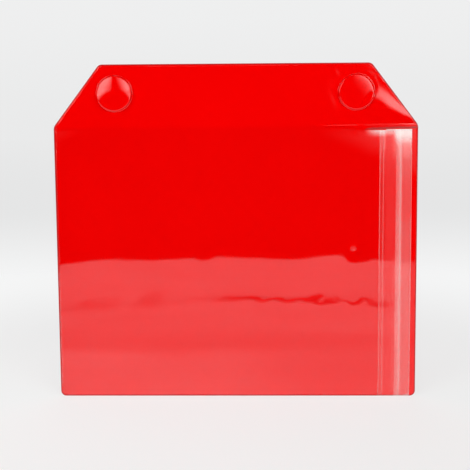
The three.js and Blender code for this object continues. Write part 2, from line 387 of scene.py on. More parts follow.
def clear_plastic(name, milk_colour, milkiness, mirror, smudge, lit_through, dull_edge=0):
    """Clear plastic: a thin see-through layer with a gloss, and milky where it is thick, welded or cut; some
    callers' milkiness also paints highlights and reflections in white. milkiness(f, x, z, gap) gives how
    milky one face is, mirror is what a face reflects when seen straight on, smudge is how patchy that is,
    and lit_through is the share of the lamps' light that a face lets through. A dull edge of 1 doesn't
    mirror at all."""
    material, f = new_finish(name)
    rest = f.rest()
    x, _, z = (axis * (1 / MM) for axis in f.split(rest))
    clouds = f.noise(rest, scale=22, detail=3, roughness=0.55)
    dust = f.noise(rest, scale=700, detail=2)
    milk = (milkiness(f, x, z, f.edge_gap()) * (0.85 + 0.3 * clouds)).clamped()
    white = f.principled({
        "Base Color": f.colour(clouds, rgba(milk_colour, share=0.97), rgba(milk_colour)),
        "Roughness": 0.3 + 0.2 * dust,
        "Specular IOR Level": 0,
    })
    clear = f.see_through((0.995, 0.993, 0.993, 1))
    facing = f.node("LayerWeight", None, {"Blend": 0.5}, out="Facing")
    haze = f.noise(f.stretched(rest, (0.7, 1, 1)), scale=17, detail=2, roughness=0.45)
    glance = (mirror + (1 - mirror) * facing**5) * (1 - smudge / 2 + smudge * haze)
    if dull_edge:
        glance = glance * (1 - dull_edge * f.ease(f.edge_gap(), *CLEAR_EDGE))
    gloss = f.node("BsdfGlossy", None, {
        "Color": (1, 1, 1, 1),
        "Roughness": 0.004 + 0.01 * clouds,
        "Normal": f.bump(dust, distance=0.000002, strength=0.3),
    })
    shade = f.see_through((lit_through, lit_through, lit_through, 1))
    body = f.mixed(glance, f.mixed(milk, clear, white), gloss)
    f.surface(f.mixed(f.ray("Shadow"), body, shade))
    return material


def ferrite(name, colour):
    """Pressed magnet: dull dark grey with pale specks and a few pits."""
    material, f = new_finish(name)
    place = f.node("TexCoord", out="Object")
    specks = f.noise(place, scale=1800, detail=4, roughness=0.65)
    clouds = f.noise(place, scale=90, detail=3)
    pits = f.ease(f.noise(place, scale=600, detail=1), 0.66, 0.74)
    body = f.colour(clouds, rgba(colour, share=0.75), rgba(colour, share=1.3))
    speckled = f.colour(f.ease(specks, 0.58, 0.7), body, rgba(colour, share=2.6))
    f.surface(f.principled({
        "Base Color": f.colour(pits, speckled, rgba(colour, share=0.4)),
        "Roughness": 0.5 + 0.25 * clouds,
        "Metallic": 0.25 + 0.3 * specks,
        "Normal": f.bump(specks - pits, distance=0.00006, strength=0.6),
    }))
    return material


# Shapes


def smooth(value):
    """A smooth step from 0 to 1."""
    t = min(max(value, 0), 1)
    return t * t * (3 - 2 * t)


def hump(value, width):
    """A rounded bead: 1 in its middle and 0 half a width away."""
    return 0.5 + 0.5 * math.cos(2 * math.pi * value / width) if abs(value) < width / 2 else 0


def turned(x, z, turn):
    """A point as seen along and across a line that is turned by so many degrees."""
    a = math.radians(turn)
    return x * math.cos(a) + z * math.sin(a), z * math.cos(a) - x * math.sin(a)


def steps(*stops):
    """Line positions from (start, step) stops to the last stop's place."""
    lines = []
    for (start, step), (end, _) in zip(stops, stops[1:]):
        count = max(1, round(abs(end - start) / step))
        lines += [start + (end - start) * i / count for i in range(count)]
    return lines + [stops[-1][0]]


class Outline:
    """A convex outline with rounded corners, in mm, anticlockwise from the front."""

    def __init__(self, corners):
        points = [Vector((x, z)) for x, z, _ in corners]
        self.sides = []
        for here, there in zip(points, points[1:] + points[:1]):
            along = (there - here).normalized()
            normal = Vector((along.y, -along.x))
            self.sides.append((normal, normal.dot(here)))
        self.arcs = []
        for i, (_, _, radius) in enumerate(corners):
            (n1, d1), (n2, d2) = self.sides[i - 1], self.sides[i]
            system = Matrix(((n1.x, n1.y), (n2.x, n2.y)))
            centre = system.inverted() @ Vector((d1 - radius, d2 - radius))
            self.arcs.append((centre, radius, n1, n2))

    def gap(self, x, z):
        """How far inside the outline a point lies."""
        p = Vector((x, z))
        for centre, radius, n1, n2 in self.arcs:
            d = p - centre
            if n1.x * d.y - n1.y * d.x > 0 and d.x * n2.y - d.y * n2.x > 0:
                return radius - d.length
        return min(offset - normal.dot(p) for normal, offset in self.sides)

    def tangents(self, inset, turns):
        """The lines that bound the outline at an inset: (normal, offset)."""
        lines = [(n, d - inset) for n, d in self.sides]
        for centre, radius, n1, n2 in self.arcs:
            if radius <= inset:
                continue
            swing = math.atan2(n1.x * n2.y - n1.y * n2.x, n1.dot(n2))
            for i in range(turns):
                turn = Matrix.Rotation(swing * (i + 0.5) / turns, 2)
                normal = turn @ n1
                lines.append((normal, normal.dot(centre) + radius - inset))
        return lines


OUTLINE = Outline(CORNERS)


def cut(bm, normal, offset, clear):
    """Cuts the sheet along a line in its plane, and clears what lies outside."""
    bmesh.ops.bisect_plane(
        bm,
        geom=bm.verts[:] + bm.edges[:] + bm.faces[:],
        dist=0.004,
        plane_co=(normal[0] * offset, 0, normal[1] * offset),
        plane_no=(normal[0], 0, normal[1]),
        clear_outer=clear,
    )


def grid(xs, zs):
    """A flat sheet that faces the front, with grid lines at xs and zs."""
    bm = bmesh.new()
    bmesh.ops.create_grid(bm, x_segments=len(xs) - 1, y_segments=len(zs) - 1, size=0.5)
    bm.verts.ensure_lookup_table()
    for index, v in enumerate(bm.verts):
        v.co = (xs[index % len(xs)], 0, zs[index // len(xs)])
    return bm


def trim(bm, insets, turns=7):
    """Trims a flat sheet to the outline, and adds lines along it at the insets."""
    xs = [v.co.x for v in bm.verts]
    zs = [v.co.z for v in bm.verts]
    ends = [Vector((x, z)) for x in (min(xs), max(xs)) for z in (min(zs), max(zs))]
    for inset in (0,) + tuple(insets):
        for normal, offset in OUTLINE.tangents(inset, turns if inset < 0.5 else 3):
            if max(normal.dot(end) for end in ends) > offset + 1e-6:
                cut(bm, normal, offset, clear=inset == 0)


def shape_sheet(bm, height):
    """Moves each point of a flat sheet to its height, and notes where it is."""
    gap_layer = bm.verts.layers.float.new("edge_gap")
    for v in bm.verts:
        gap = max(OUTLINE.gap(v.co.x, v.co.z), 0)
        v[gap_layer] = gap
        v.co.y = -height(v.co.x, v.co.z, gap)


def note_rest(bm):
    """Keeps each point's place at rest, in metres, for the patterns."""
    layer = bm.verts.layers.float_vector.new("rest")
    for v in bm.verts:
        v[layer] = v.co * MM


def mesh_of(bm, name):
    """The mesh that a bmesh has become."""
    mesh = bpy.data.meshes.new(name)
    bm.to_mesh(mesh)
    bm.free()
    return mesh


def added(name, data):
    """A new object in the scene."""
    made = bpy.data.objects.new(name, data)
    bpy.context.scene.collection.objects.link(made)
    return made


def finished(bm, name, material, nodes, sharp=None):
    """Makes the object of a mesh in mm, and hides the CAD nodes it stands for."""
    note_rest(bm)
    bmesh.ops.scale(bm, vec=(MM, MM, MM), verts=bm.verts)
    for face in bm.faces:
        face.smooth = True
    for edge in bm.edges:
        middle = (edge.verts[0].co + edge.verts[1].co) / (2 * MM)
        edge.smooth = not edge.is_boundary or OUTLINE.gap(middle.x, middle.z) < 0.5
    mesh = mesh_of(bm, name)
    if sharp is not None:
        mesh.set_sharp_from_angle(angle=math.radians(sharp))
    mesh.materials.append(material)
    piece = added(name, mesh)
    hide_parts(*nodes)
    return piece


def thicken(piece, thickness, group=None, least=1):
    """Gives a front face its foil's thickness, towards the back."""
    solid = piece.modifiers.new("foil", "SOLIDIFY")
    solid.thickness = thickness
    solid.offset = -1
    solid.use_even_offset = False
    if group:
        solid.vertex_group = group
        solid.thickness_vertex_group = least


def over_crease(piece):
    """The piece turns with the pocket below the crease and with the head above it."""
    z = CREASE * MM
    half = BEND_HALF * MM
    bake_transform(piece, "head", "pocket", start=(0, 0, z + half), end=(0, 0, z - half))


def rise(x, z):
    """How far the window stands off the back sheet, from 0 to 1."""
    below_top = min(max((RISE_TOP - z) / RISE_TOP_RUN, 0), 1)
    return (
        smooth((x - RISE_LEFT) / RISE_LEFT_RUN)
        * below_top * (2 - below_top)
        * smooth((z - RISE_BOTTOM) / RISE_RUN)
    )


def curl(x, z):
    """How far the sheets' right edge turns towards the back about the shoulder, in mm."""
    outward = max(0, (x - CURL_FROM) / CURL_RUN)
    grown = smooth((z - CURL_FOOT) / CURL_GROW)
    return CURL_DEPTH * outward**2 * grown * (1 - smooth((z - CREASE) / CURL_FADE))


def reach_down(x):
    """How far the cover's lower edge and the pocket's top edges run lower, in mm."""
    less = REACH_LESS_BY * smooth((x - REACH_LESS_FROM) / REACH_LESS_RUN)
    return REACH_BY * smooth((x - REACH_FROM) / REACH_RUN) - less


def window_level(x, z, foil):
    """The window's front, without its ripples."""
    return BACK_FOIL + foil + STAND_OFF * rise(x, z) - curl(x, z)


# The red sheets

# The welds about the outline, about each magnet and above the crease press the back
# sheet out a little; the grid is fine as far as MARK_FAR from a magnet's middle.
MARK_DEPTH = 0.09
MARK_FAR = 19.2
# A ring of grid lines at each magnet follows circles out to PATCH_ROUND and then
# widens into a square of the sheet's own grid lines.
PATCH_HALF = 23
PATCH_RINGS = 40
PATCH_ROUND = 34
# The first rings are further apart than those of the dome's wall.
INNER_RINGS = 13
INNER_STEP = 1.1
# (radius, height over the cover) from the middle of a dome to the flat.
TENT = (
    (0, 6.6), (3, 6.57), (6, 6.48), (8, 6.39), (10, 6.25), (12, 6.04),
    (13, 5.9), (14, 5.74), (14.8, 5.6), (15.35, 5.4), (15.65, 4.8), (15.85, 3.6),
    (16, 2.2), (16.15, 1), (16.3, 0.3), (16.5, 0.03), (16.8, 0), (18.5, 0),
)
TENT_BELOW = (
    (0, 6.6), (3, 6.57), (6, 6.48), (8, 6.4), (10, 6.3), (12, 6.19),
    (14, 6.09), (14.9, 6.04), (15.4, 5.85), (15.68, 5.1), (15.87, 3.7), (16, 2.3),
    (16.15, 1), (16.3, 0.3), (16.5, 0.03), (16.8, 0), (18.5, 0),
)
DISC = (
    (0, 4.5), (8, 4.49), (12, 4.44), (14.4, 4.34), (15.05, 4.22), (15.4, 3.98),
    (15.68, 3.2), (15.87, 2.2), (16, 1.3), (16.15, 0.6), (16.3, 0.18), (16.5, 0.02),
    (16.8, 0), (18.5, 0),
)
# Points between two of a section's knots.
SECTION_STEPS = 12
# The cover is drawn like a tent over the left magnet, and lies flat on the right one:
# (section above the middle, section below it, lean towards the upper right, its turn
# in degrees, droop towards the upper right, slope of the tent's upright ridge).
DOMES = ((TENT, TENT_BELOW, 0.02, 10, 0, 0.092), (DISC, DISC, 0, 0, 0.19, 0))
DROOP_TURN, DROOP_REACH = 46, 12
# The dome's top, which leans, droops and has the ridge, ends at its wall.
CROWN_RADIUS = 15.3
DOME_CLEAR = 18.5
THIN_FOIL = 0.55
# The ripples sink the back sheet's front by this many ripple heights at most. It is
# that much thinner, so that its back doesn't stand out.
DEEPEST_RIPPLE = 3.5

# Shallow creases in the cover: (x, z, turn in degrees, length, width, height).
CREASES = (
    (-99, 22.2, 0, 9, 1.8, 0.1),
    (-131, -7, 20, 8, 2.2, 0.09),
    (100, 22.4, -2, 9, 1.8, 0.12),
    (117, 21.5, -4, 6, 1.6, 0.12),
    (91, 16, -60, 6, 3, 0.17),
    (88, -8, -60, 6, 3.2, 0.15),
    (117, -21.5, -35, 8, 3, 0.17),
    (133, 9, -40, 5, 1.2, 0.16),
    (60, 20, 4, 16, 3, 0.05),
    (-40, -12, 8, 30, 6, 0.04),
)
# The weld above the crease, and where a bead begins to run along the crease.
WELD_OVER_CREASE = 3.6
FOLD_BEAD_FROM = 60
# The bulge right of the right magnet: its start, its long axis, its length, and the
# width and height it starts with.
BULGE_START = (125.8, 1.2)
BULGE_AXIS = (0.817, -0.577)
BULGE_LENGTH, BULGE_WIDTH, BULGE_HEIGHT = 44, 13.5, 1
# Right of here the cover's cut lower edge shows. It wanders in two waves, (height,
# length, phase), about a lift.
RAGGED_FROM = 110
RAGS, RAG_LIFT = ((0.25, 2.3, 0), (0.16, 0.9, 1)), 0.28


def ragged(x):
    """How far the cover's lower edge wanders at its right, in mm."""
    wander = sum(tall * math.sin(x / long + phase) for tall, long, phase in RAGS)
    return smooth((x - RAGGED_FROM) / 8) * (wander + RAG_LIFT)


def dome_rings(knots):
    """PATCH_ROUND + 1 points along a dome's section, closer together at its wall."""
    knots = [Vector(k) for k in knots]
    curve = []
    for i in range(len(knots) - 1):
        p0, p1 = knots[max(i - 1, 0)], knots[i]
        p2, p3 = knots[i + 1], knots[min(i + 2, len(knots) - 1)]
        for j in range(SECTION_STEPS):
            t = j / SECTION_STEPS
            even = 2 * p1 + (p2 - p0) * t
            bend = (2 * p0 - 5 * p1 + 4 * p2 - p3) * t * t
            curve.append(0.5 * (even + bend + (3 * p1 - p0 - 3 * p2 + p3) * t**3))
    curve.append(knots[-1])
    lengths = [0]
    for a, b in zip(curve, curve[1:]):
        lengths.append(lengths[-1] + (b - a).length)
    rings, k = [], 0
    for i in range(PATCH_ROUND + 1):
        want = min(i, INNER_RINGS) * INNER_STEP
        if i > INNER_RINGS:
            want += (lengths[-1] - want) * (i - INNER_RINGS) / (PATCH_ROUND - INNER_RINGS)
        while k < len(lengths) - 2 and lengths[k + 1] < want:
            k += 1
        share = (want - lengths[k]) / (lengths[k + 1] - lengths[k])
        rings.append(curve[k].lerp(curve[k + 1], share))
    return rings


def patch_line(index):
    """A patch's grid line, counted from the magnet's middle."""
    return PATCH_HALF * math.tan(math.pi / 4 * index / PATCH_RINGS)


def patch_point(i, k, upper, lower, lean, turn_by, droop, ridge):
    """Where grid point (i, k) of a patch goes, and the dome's height there. upper and
    lower are its sections' rings, lean is how far its middle leans, droop is how far
    its upper right sinks, and ridge is how steep it falls from its upright ridge."""
    ring = max(abs(i), abs(k))
    if ring == 0:
        return 0, 0, upper[0].y
    wide = abs(i) >= abs(k)
    far, near = (i, k) if wide else (k, i)
    sign = math.copysign(1, far)
    angle = math.pi / 4 * near / far
    turn = (sign * math.cos(angle), sign * math.sin(angle))
    square = (sign, sign * math.tan(angle))
    if not wide:
        turn, square = turn[::-1], square[::-1]
    if ring <= PATCH_ROUND:
        radius, height = upper[ring].lerp(lower[ring], smooth(-turn[1] / 0.45 - 0.1))
        x, z = turn[0] * radius, turn[1] * radius
        outward = max(0, turned(x, z, DROOP_TURN)[0]) / DROOP_REACH
        sunk = lean * turned(x, z, turn_by)[0]
        sunk += ridge * (math.hypot(x, 1) - 1) * smooth(z / 7 + 0.3)
        sunk += droop * outward**2
        return x, z, height - sunk * (1 - smooth(radius - CROWN_RADIUS))
    share = (ring - PATCH_ROUND) / (PATCH_RINGS - PATCH_ROUND)
    radius = DOME_CLEAR + (PATCH_HALF - DOME_CLEAR) * share
    return (
        radius * (turn[0] + (square[0] - turn[0]) * share),
        radius * (turn[1] + (square[1] - turn[1]) * share),
        0,
    )


def bulge(x, z):
    """The height of the bulge: steep on its upper right, and wide on its lower left."""
    dx, dz = x - BULGE_START[0], z - BULGE_START[1]
    along = dx * BULGE_AXIS[0] + dz * BULGE_AXIS[1]
    across = -dx * BULGE_AXIS[1] + dz * BULGE_AXIS[0]
    share = along / BULGE_LENGTH
    width = BULGE_WIDTH * (1 - 0.75 * min(max(share, 0), 1))
    tall = BULGE_HEIGHT * smooth((along + 4) / 8) * (1 - 0.6 * share)
    tall *= smooth((1.1 - share) / 0.3)
    if across > -width / 2:
        return tall * (1 - smooth(across / width + 0.5))
    return tall * (1 - smooth((-across - width / 2) / (2.2 * width)))


def cover_relief(x, z, gap, foils):
    """The cover's height over its welded level, away from the domes."""
    puff, bead = foils.puff / MM, foils.bead / MM
    over_weld = z - (CREASE + WELD_OVER_CREASE)
    right = smooth((x - FOLD_BEAD_FROM) / 50)
    faint = 1 - 0.7 * (x > FOLD_BEAD_FROM)
    height = puff * smooth((gap - 2) / 13) * smooth((over_weld - 0.6) / 11)
    height += bead * hump(gap - 1.75, 0.8) * smooth(over_weld + 2) * faint
    height += bead * right * hump(z - (CREASE + 0.5), 1.3) * smooth((gap - 0.6) / 2)
    for cx, cz, turn, long, width, rise_by in CREASES:
        u, v = turned(x - cx, z - cz, turn)
        height += rise_by * math.exp(-((u / long) ** 2) - (v / width) ** 2)
    round_edge = 0.06 * (1 - smooth(gap / 0.2))
    dx = x - MAGNETS[1]
    reach = min(math.hypot(dx, z), math.hypot(x - MAGNETS[0], z))
    calm = smooth((reach - DOME_CLEAR + 1) / 15)
    off_arc = (math.atan2(z, dx) - math.radians(45)) / 0.5
    outer_arc = hump(reach - 20, 2) * math.exp(-(off_arc**2))
    swelling = 0.1 * outer_arc + bulge(x, z) if x > 0 else 0
    return height * calm + swelling - round_edge


class POCKET_OT_red_sheets(bpy.types.Operator):
    """The red back sheet and the red cover of the head, with a dome over each magnet"""

    bl_idname = "pocket.red_sheets"
    bl_label = "Red sheets"

    def execute(self, context):
        foils = context.scene.pocket_foils
        self.back_sheet(foils, red_foil("red_back_foil", foils))
        self.head_cover(foils, red_foil("red_cover_foil", foils))
        return {"FINISHED"}

    def back_sheet(self, foils, material):
        """One sheet from the bottom to the top of the head."""
        ripple = foils.ripple / MM
        left, right = MAGNETS
        xs = steps(
            (-SIDE - 1, 3), (left - MARK_FAR, 0.8), (left + MARK_FAR, 3),
            (right - MARK_FAR, 0.8), (right + MARK_FAR, 3), (SIDE + 1, 0),
        )
        zs = steps(
            (BOTTOM - 1, 2.5), (CREASE - 4, 0.7), (CREASE - BEND_HALF, 0.2),
            (CREASE + BEND_HALF, 0.5), (CREASE + 5, 1.5), (-MARK_FAR, 0.8),
            (MARK_FAR, 2), (TOP + 1, 0),
        )
        bm = grid(xs, zs)
        trim(bm, insets=(0.15, 0.4, 1, 1.5, 2, 2.5, 3, 3.6))

        def height(x, z, gap):
            calm = smooth((CREASE - 6 - z) / 12) * smooth(gap / 6)
            reach = min(math.hypot(x - left, z), math.hypot(x - right, z))
            mark = MARK_DEPTH * max(
                hump(gap - 2, 2), hump(reach - 17, 2.4), hump(z - CREASE - 3.4, 1.8)
            )
            return BACK_FOIL - ripple * (1 - waves(x, z)) * calm - curl(x, z) - mark

        shape_sheet(bm, height)
        piece = finished(
            bm, "back_sheet", material, ("head_back_sheet", "pocket_back_sheet")
        )
        over_crease(piece)
        thicken(piece, BACK_FOIL * MM - DEEPEST_RIPPLE * foils.ripple)

    def head_cover(self, foils, material):
        """The sheet over the head's front, drawn over the magnets."""
        columns, marks = [], {}
        edge = [MAGNETS[0] - PATCH_HALF, MAGNETS[0] + PATCH_HALF]
        columns += steps((-SIDE - 0.5, 1.5), (edge[0], 0))[:-1]
        for side, centre in enumerate(MAGNETS):
            for i in range(-PATCH_RINGS, PATCH_RINGS + 1):
                marks[len(columns)] = (side, i)
                columns.append(centre + patch_line(i))
            if side == 0:
                columns += steps((edge[1], 3), (-edge[1], 0))[1:-1]
        columns += steps((-edge[0], 1.5), (SIDE + 0.5, 0))[1:]
        bend = CREASE + BEND_HALF
        rows = steps(
            (COVER_END, 0.2), (bend, 0.2), (CREASE + 5.4, 0.4), (-PATCH_HALF, 0)
        )[:-1]
        first = len(rows)
        rows += [patch_line(k) for k in range(-PATCH_RINGS, PATCH_RINGS + 1)]
        rows += steps((PATCH_HALF, 0.8), (TOP + 0.5, 0))[1:]
        domes = [(dome_rings(a), dome_rings(b), *rest) for a, b, *rest in DOMES]
        bm = grid(columns, rows)
        dome = bm.verts.layers.float.new("dome")
        for index, v in enumerate(bm.verts):
            column, row = index % len(columns), index // len(columns)
            k = row - first - PATCH_RINGS
            if column in marks and abs(k) <= PATCH_RINGS:
                side, i = marks[column]
                x, z, height = patch_point(i, k, *domes[side])
                v.co.x, v.co.z = MAGNETS[side] + x, z
                v[dome] = height
        trim(bm, insets=(0.15, 0.4, 0.8, 1.3, 1.8, 2.4, 3.2))
        low_part = bend - COVER_END
        lows = bm.verts.layers.float.new("low")
        for v in bm.verts:
            v[lows] = v.co.z - COVER_END
            if v[lows] < low_part and v.co.x > REACH_FROM:
                share = 1 - v[lows] / low_part
                v.co.z += (ragged(v.co.x) - reach_down(v.co.x)) * share
        cover = foils.cover_foil / MM
        shape_sheet(
            bm,
            lambda x, z, gap: BACK_FOIL + cover + cover_relief(x, z, gap, foils) - curl(x, z),
        )
        gaps = bm.verts.layers.float["edge_gap"]
        lows = bm.verts.layers.float["low"]
        # Right of about x = 114 the rows along the cover's lower edge count as a cut edge, so the red foil
        # paints them darker, fully from about x = 119: a painted shadow under that edge.
        for v in bm.verts:
            if v[lows] < low_part and v.co.x > REACH_FROM:
                faint = 1.5 * smooth((RAGGED_FROM + 14 - v.co.x) / 12)
                v[gaps] = min(v[gaps], v[lows] + 0.1 + faint)
        weights = bm.verts.layers.deform.verify()
        dome = bm.verts.layers.float["dome"]
        for v in bm.verts:
            v.co.y -= v[dome]
            v[weights][0] = 1 - smooth(v[dome] - 0.1)
        piece = finished(bm, "head_cover", material, ("head_cover_sheet",))
        piece.vertex_groups.new(name="foil")
        over_crease(piece)
        thicken(piece, foils.cover_foil, "foil", THIN_FOIL)


class POCKET_OT_magnets(bpy.types.Operator):
    """The finish of the two magnets"""

    bl_idname = "pocket.magnets"
    bl_label = "Magnets"

    def execute(self, context):
        material = ferrite("ferrite", context.scene.pocket_magnets.ferrite)
        for name in ("magnet_left", "magnet_right"):
            mesh = frame["nodes"][name].data
            mesh.materials.clear()
            mesh.materials.append(material)
        return {"FINISHED"}


# The window

# The window's slow waves: (length in mm, turn in degrees, phase, share).
WAVES = (
    (118, 8, 0.4, 0.5), (71, -21, 2.1, 0.3), (163, 63, 1, 0.7),
    (44, 35, 4, 0.15), (24, 14, 1.3, 0.1), (17, -38, 0.2, 0.06),
    (11, 22, 2.6, 0.03),
)
# Its small dents, which break the reflections up: (x, z, width, height, share).
DENTS = (
    (-29, -144, 7, 7, -1.6), (-16, -144, 6, 7, 0.9),
    (81, -144, 14, 7, 1.1), (96, -145, 8, 6, 1.3),
    (107, -146, 5, 6, -3.2), (106.5, -138, 4, 4.5, 1.9),
    (117, -147, 5, 6, -1.1), (40, -145, 16, 6, -0.35),
    (-80, -145, 18, 7, -0.5), (-118, -145, 14, 7, 0.5),
    (-158, -144, 8, 8, -0.5), (-4, -144, 6, 5, 0.5),
    (60, -144, 4, 5, -0.4), (-52, -144, 7, 5, -0.4),
    (72, -184, 4, 4, 2), (76.5, -188, 3.5, 4, -2.4),
    (94, -183, 4, 4, 1.6), (99, -190, 4, 4, 3),
    (107, -186, 4, 4, -2.4), (118, -186, 6, 5, 2.4),
    (26, -185, 4, 4, -1.6), (33, -188, 4, 4, 1.6),
    (48, -185, 5, 4, -1.3), (58, -187, 4, 4, 1.3),
    (-35, -188, 6, 5, 1.2), (-75, -187, 10, 9, -1.8),
    (-122, -186, 14, 9, -1.4), (10, -186, 8, 5, 1),
)


# The window's cut edge is rounded, its top is lifted to the cover, and its upper part
# is drawn down under the cover's reach: (by how much, over what run) or the run alone.
ROUND_EDGE, ROUND_RUN = 0.1, 0.3
TOP_LIFT, TOP_LIFT_RUN = 0.1, 7
REACH_FADE = 11
# Where the clear plastic begins to turn white towards the cover's edge, and is white: partly haze from the
# weld and partly a painted highlight.
WHITE_FROM, WHITE_TO = CREASE - 13, CREASE - 4.2


def waves(x, z):
    """The window's slow waves and small dents, about -1 to 1."""
    total = 0
    for long, turn, phase, share in WAVES:
        total += share * math.sin(2 * math.pi * turned(x, z, turn)[0] / long + phase)
    for cx, cz, width, height, share in DENTS:
        total += share * math.exp(-((x - cx) / width) ** 2 - ((z - cz) / height) ** 2)
    return total


def weld_haze_and_highlight(f, z):
    """How white the clear plastic turns near the cover's lower edge: partly haze from the weld, and partly a
    painted highlight where the sheets slope up to it.
    """
    near = f.ease(z, WHITE_FROM, WHITE_TO)
    return near * near


class POCKET_OT_window(bpy.types.Operator):
    """The clear window"""

    bl_idname = "pocket.window"
    bl_label = "Window"

    def execute(self, context):
        foils = context.scene.pocket_foils
        foil, ripple, bead = foils.window_foil / MM, foils.ripple / MM, foils.bead / MM
        xs = steps((-SIDE - 1, 0.6), (-158, 3), (85, 2.5), (WINDOW_RIGHT, 0))
        zs = steps(
            (BOTTOM - 1, 1), (BOTTOM + 20, 3), (CREASE - 32, 1), (CREASE - 8, 0.4),
            (WINDOW_TOP, 0),
        )
        bm = grid(xs, zs)
        trim(bm, insets=(0.15, 0.4, 0.8, 1.4, 2, 2.6, 3.2))

        def height(x, z, gap):
            share = rise(x, z)
            below_top = WINDOW_TOP - reach_down(x) - z
            lifted = TOP_LIFT * (1 - smooth(below_top / TOP_LIFT_RUN))
            rounded = ROUND_EDGE * (1 - smooth(gap / ROUND_RUN))
            weld = 0.5 * bead * hump(gap - 2.3, 1.2)
            relief = ripple * waves(x, z) * share + weld * (1 - share)
            return window_level(x, z, foil) + relief + lifted - rounded

        for v in bm.verts:
            v.co.z -= reach_down(v.co.x) * smooth((v.co.z - WINDOW_TOP) / REACH_FADE + 1)
        shape_sheet(bm, height)
        # Near the cover's edge at the right the window turns white: partly weld haze and partly a painted
        # highlight.
        material = clear_plastic(
            "clear_foil",
            context.scene.pocket_zip.milk,
            lambda f, x, z, gap: 0.0001
            + 0.01 * f.band(gap, 1.9, 2.7, 0.5)
            + 0.4 * weld_haze_and_highlight(f, z) * f.ease(x, 116, 130),
            mirror=0.0135,
            smudge=0.3,
            lit_through=0.945,
            dull_edge=0.9,
        )
        piece = finished(bm, "window", material, ("window_sheet",))
        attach(piece, "pocket")
        thicken(piece, foils.window_foil)
        return {"FINISHED"}


# The zip

STRIP_TOP = CREASE - 4.55
TAPE_TOP = CREASE - 3.7
TAPE_BOTTOM = BOTTOM + 0.35
TAPE_MIDDLE = (RISE_TOP + RISE_BOTTOM) / 2
# The seam strip's front from its left edge: (x, height), where STRIP_FULL is the
# tape's own thickness.
STRIP_FULL = 0.4
STRIP_FRONT = (
    (0.1, 0), (0, 0.12), (0.05, 0.32), (0.25, 0.43), (0.5, 0.43), (0.7, 0.4), (3.3, 0.4),
    (3.5, 0.42), (3.75, 0.43), (4, 0.42), (4.2, 0.4),
)
# The front of the groove tape: (x from the hinge, share of the ridge height).
TAPE_FRONT = (
    (0, 0), (0.6, 0), (3.5, 0), (6.6, 0), (7.2, -0.1), (7.7, -0.25), (8.1, -0.1),
    (8.4, 0.2), (8.8, 0.55), (9.6, 0.72), (10.6, 0.75), (11.6, 0.66), (12.3, 0.42), (12.8, 0.3),
    (13.2, 0.42), (13.5, 0.8), (14, 1), (14.5, 1), (15, 0.78), (15.4, 0.35),
    (15.8, 0.06), (16.6, 0), (19, 0), (21.5, 0), (22.6, -0.02), (22.95, -0.35),
)
# The groove's jaw: (x from the rib, share of the jaw's depth).
JAW = (
    (2.1, 0), (2.1, 0.94), (1.95, 1), (1.1, 1), (1, 0.95), (1, 0.8), (1.15, 0.72),
    (1.15, 0.06), (1.05, 0),
)
# The rib: (x from its middle, height from 0 at its foot to 1 at its tip).
RIB = (
    (0.75, 0), (0.45, 0.08), (0.45, 0.7), (0.7, 0.72), (0.68, 0.78), (0.33, 1),
)
RIB_FOOT = 3
# How much less far to the right the back tape is drawn than the CAD's.
BACK_TAPE_SHORT = 0.5


def loft(section, rows, place):
    """Draws a closed section of (x, level, reach) points along the rows.
    place(x, level, reach, z) gives a point, in mm."""
    bm = bmesh.new()
    tag = bm.verts.layers.int.new("corner")
    ring = []
    for index, point in enumerate(section):
        v = bm.verts.new(place(*point, rows[0]))
        v[tag] = index
        ring.append(v)
    cap = bm.faces.new(ring)
    for count, z in enumerate(rows[1:]):
        grown = bmesh.ops.extrude_face_region(bm, geom=[cap])["geom"]
        if count:
            bmesh.ops.delete(bm, geom=[cap], context="FACES_ONLY")
        cap = next(g for g in grown if isinstance(g, bmesh.types.BMFace))
        for v in cap.verts:
            v.co = place(*section[v[tag]], z)
    bmesh.ops.recalc_face_normals(bm, faces=bm.faces)
    return bm


def note_gap(bm, right, top):
    """Notes each point's gap to the tape's ends and its right edge."""
    layer = bm.verts.layers.float.new("edge_gap")
    for v in bm.verts:
        v[layer] = max(0, min(right - v.co.x, top - v.co.z, v.co.z - TAPE_BOTTOM))


def tape_rows(start, end):
    """Rows for a tape, close together where it rises at a weld."""
    stops = [
        (TAPE_BOTTOM, 0.5), (RISE_BOTTOM, 0.8), (RISE_BOTTOM + RISE_RUN, 3.5),
        (TAPE_MIDDLE, 3.5), (RISE_TOP - RISE_TOP_RUN, 1.2), (RISE_TOP - 5, 0.4), (CREASE, 0),
    ]
    return [start] + [z for z in steps(*stops) if start + 0.1 < z < end - 0.1] + [end]


def tape_milk(levels):
    """How milky a tape is: (low x, high x, milkiness) bands, whiter ends at the top that are partly pinched
    plastic and partly a painted highlight, and a painted reflection near the top.
    """

    def milkiness(f, x, z, gap):
        total = None
        for low, high, amount in levels:
            part = f.band(x, low, high, 0.5) * amount
            total = part if total is None else total + part
        to_right = f.ease(x, RIB_X - 7, RIB_X - 3)
        # The ends at the top are whiter: partly pinched plastic and partly a painted highlight.
        pinched_and_highlit = f.ease(z, TAPE_TOP - 20, TAPE_TOP) * to_right
        # Painted reflection: the tape turns a little milkier towards the top, most at the right.
        upper = f.ease(z, CREASE - 62, CREASE - 8) * (0.008 + 0.022 * to_right)
        ends = 0.6 * pinched_and_highlit * pinched_and_highlit + 0.3 * weld_haze_and_highlight(f, z) * (1 - to_right)
        return total + ends + upper + 0.1 * f.ease(gap, *TAPE_EDGE)

    return milkiness


def tape_plastic(name, milkiness):
    """The extrusion that the zip's tapes are made of."""
    milk = bpy.context.scene.pocket_zip.milk
    return clear_plastic(name, milk, milkiness, mirror=0.011, smudge=0.2, lit_through=0.995)


